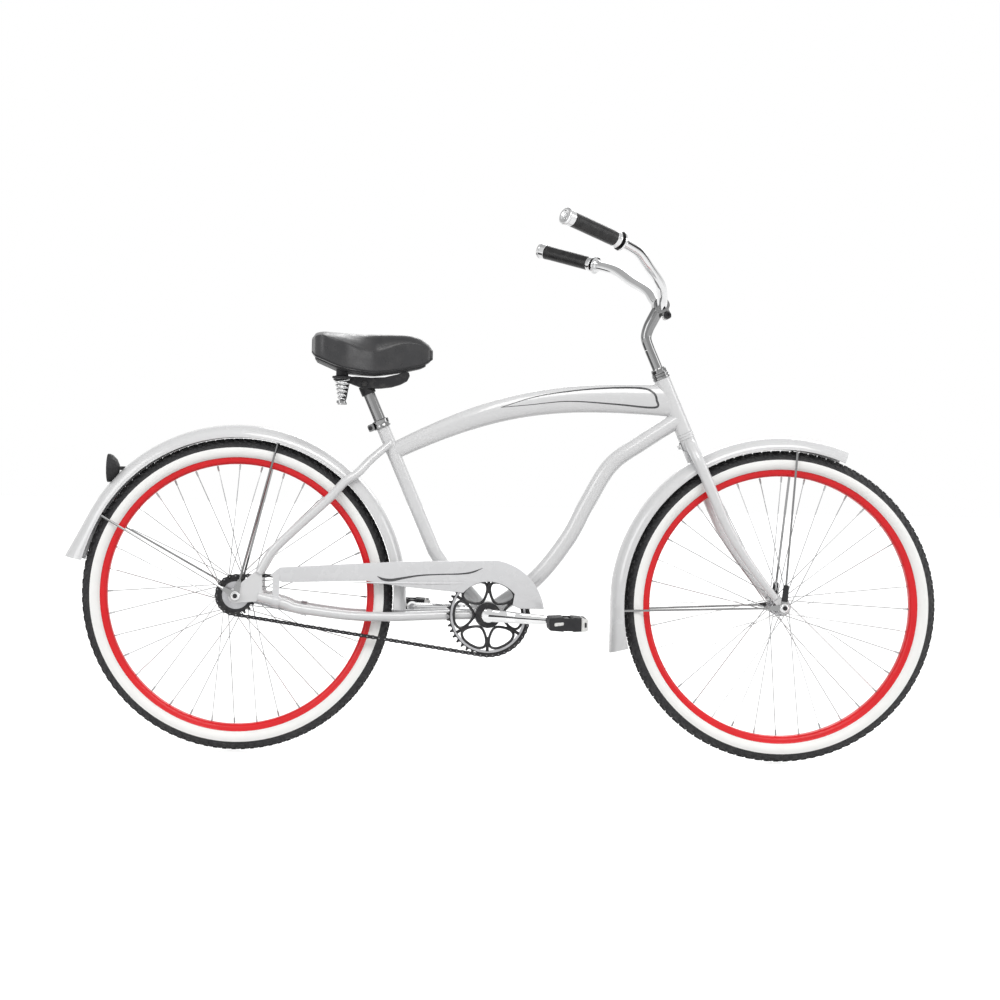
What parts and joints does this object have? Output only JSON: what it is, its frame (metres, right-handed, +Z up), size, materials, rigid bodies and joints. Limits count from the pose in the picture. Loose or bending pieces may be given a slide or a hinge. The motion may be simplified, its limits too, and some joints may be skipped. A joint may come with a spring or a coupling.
{
  "type": "bicycle",
  "caption": "Beach cruiser bicycle with fenders, white-wall tyres, coaster brake, chain guard, swept bars and sprung saddle; its steering, wheels, cranks, pedals and saddle move.",
  "frame": {"origin": "on the ground, below the middle of the bicycle's outline", "axes": "+X forward along the bicycle, +Z up, +Y to the rider's left"},
  "size_m": [1.8424, 0.6834, 1.1248],
  "materials": {
    "white_paint": "gloss",
    "guard_paint": "gloss",
    "red_paint": "gloss",
    "chrome": "polished",
    "steel": "satin",
    "black_steel": "satin",
    "black_plastic": "matte",
    "grip_rubber": "matte",
    "tyre_rubber": "matte, with a white side band",
    "cover_vinyl": "satin"
  },
  "bodies": {
    "frame": {"head_tube": "white_paint", "top_tube": "white_paint", "down_tube": "white_paint", "seat_tube": "white_paint", "bottom_bracket_shell": "white_paint", "chainstay_right": "white_paint", "chainstay_left": "white_paint", "seatstay_right": "white_paint", "seatstay_left": "white_paint", "chainstay_bridge": "white_paint", "seatstay_bridge": "white_paint", "headset_cup_upper": "chrome", "headset_cup_lower": "chrome", "bottom_cup_right": "steel", "bottom_cup_left": "steel", "seat_collar": "chrome", "rear_axle": "chrome", "coaster_brake_arm": "steel", "chain_guard": "guard_paint", "chain": "black_steel", "rear_fender": "white_paint", "rear_fender_stay_upper": "chrome", "rear_fender_stay_lower": "chrome", "reflector_bracket": "black_steel", "rear_reflector": "black_plastic"},
    "fork": {"fork_steerer": "chrome", "fork_blade_right": "white_paint", "fork_blade_left": "white_paint", "headset_nut": "chrome", "front_axle": "chrome", "front_fender": "white_paint", "front_fender_stay_top": "chrome", "front_fender_stay_rear": "chrome"},
    "stem_body": {"stem": "chrome", "stem_binder_bolt": "chrome"},
    "bars": {"handlebar": "chrome", "grip_right": "grip_rubber", "grip_left": "grip_rubber", "grip_cap_right": "chrome", "grip_cap_left": "chrome"},
    "front_wheel": {"front_tyre": "tyre_rubber", "front_rim": "red_paint", "front_hub": "chrome"},
    "rear_wheel": {"rear_tyre": "tyre_rubber", "rear_rim": "red_paint", "rear_hub": "chrome"},
    "driver": {"rear_cog": "steel"},
    "cranks": {"crank": "chrome", "chainring": "black_steel", "pedal_spindle_right": "steel", "pedal_spindle_left": "steel"},
    "right_pedal": {"pedal_right": "black_plastic"},
    "left_pedal": {"pedal_left": "black_plastic"},
    "seat_mast": {"seatpost": "chrome", "saddle_clamp": "chrome"},
    "saddle_base": {"saddle_rails": "chrome", "saddle_spring_right": "chrome", "saddle_spring_left": "chrome"},
    "saddle_top": {"saddle_pan": "black_plastic", "saddle_cover": "cover_vinyl"}
  },
  "joints": [
    {"name": "steering", "type": "hinge", "parent": "frame", "child": "fork", "pos_m": [0.38258, 0, 0.69155], "axis": [-0.4035, 0, 0.915], "range_deg": [-75, 75]},
    {"name": "stem_height", "type": "slide", "parent": "fork", "child": "stem_body", "axis": [-0.4035, 0, 0.915], "range_m": [-0.03, 0.05]},
    {"name": "handlebar_tilt", "type": "hinge", "parent": "stem_body", "child": "bars", "pos_m": [0.32578, 0, 0.96159], "axis": [0, 1, 0], "range_deg": [-20, 20]},
    {"name": "front_wheel_spin", "type": "hinge", "parent": "fork", "child": "front_wheel", "pos_m": [0.59123, 0, 0.33], "axis": [0, 1, 0], "continuous": true},
    {"name": "rear_wheel_spin", "type": "hinge", "parent": "frame", "child": "rear_wheel", "pos_m": [-0.55827, 0, 0.33], "axis": [0, 1, 0], "continuous": true},
    {"name": "crank_spin", "type": "hinge", "parent": "frame", "child": "cranks", "pos_m": [-0.02758, 0, 0.3], "axis": [0, 1, 0], "continuous": true, "deforming": ["chain"]},
    {"name": "cog_spin", "type": "hinge", "parent": "frame", "child": "driver", "pos_m": [-0.55827, 0, 0.33], "axis": [0, 1, 0], "continuous": true},
    {"name": "pedal_right_spin", "type": "hinge", "parent": "cranks", "child": "right_pedal", "pos_m": [0.13027, -0.08, 0.29311], "axis": [0, 1, 0], "continuous": true},
    {"name": "pedal_left_spin", "type": "hinge", "parent": "cranks", "child": "left_pedal", "pos_m": [-0.18543, 0.08, 0.30689], "axis": [0, 1, 0], "continuous": true},
    {"name": "seat_height", "type": "slide", "parent": "frame", "child": "seat_mast", "axis": [-0.4035, 0, 0.915], "range_m": [-0.03, 0.09]},
    {"name": "saddle_tilt", "type": "hinge", "parent": "seat_mast", "child": "saddle_base", "pos_m": [-0.29802, 0, 0.78184], "axis": [0, 1, 0], "range_deg": [-15, 15]},
    {"name": "saddle_rock", "type": "hinge", "parent": "saddle_base", "child": "saddle_top", "pos_m": [-0.22002, 0, 0.79584], "axis": [0, 1, 0], "range_deg": [-3, 0], "stiffness_Nm_per_rad": 450, "springref_deg": 1.15, "deforming": ["saddle_spring_right", "saddle_spring_left"]}
  ],
  "couplings": [
    {"joint": "cog_spin", "follows": "crank_spin", "ratio": 2.1}
  ]
}
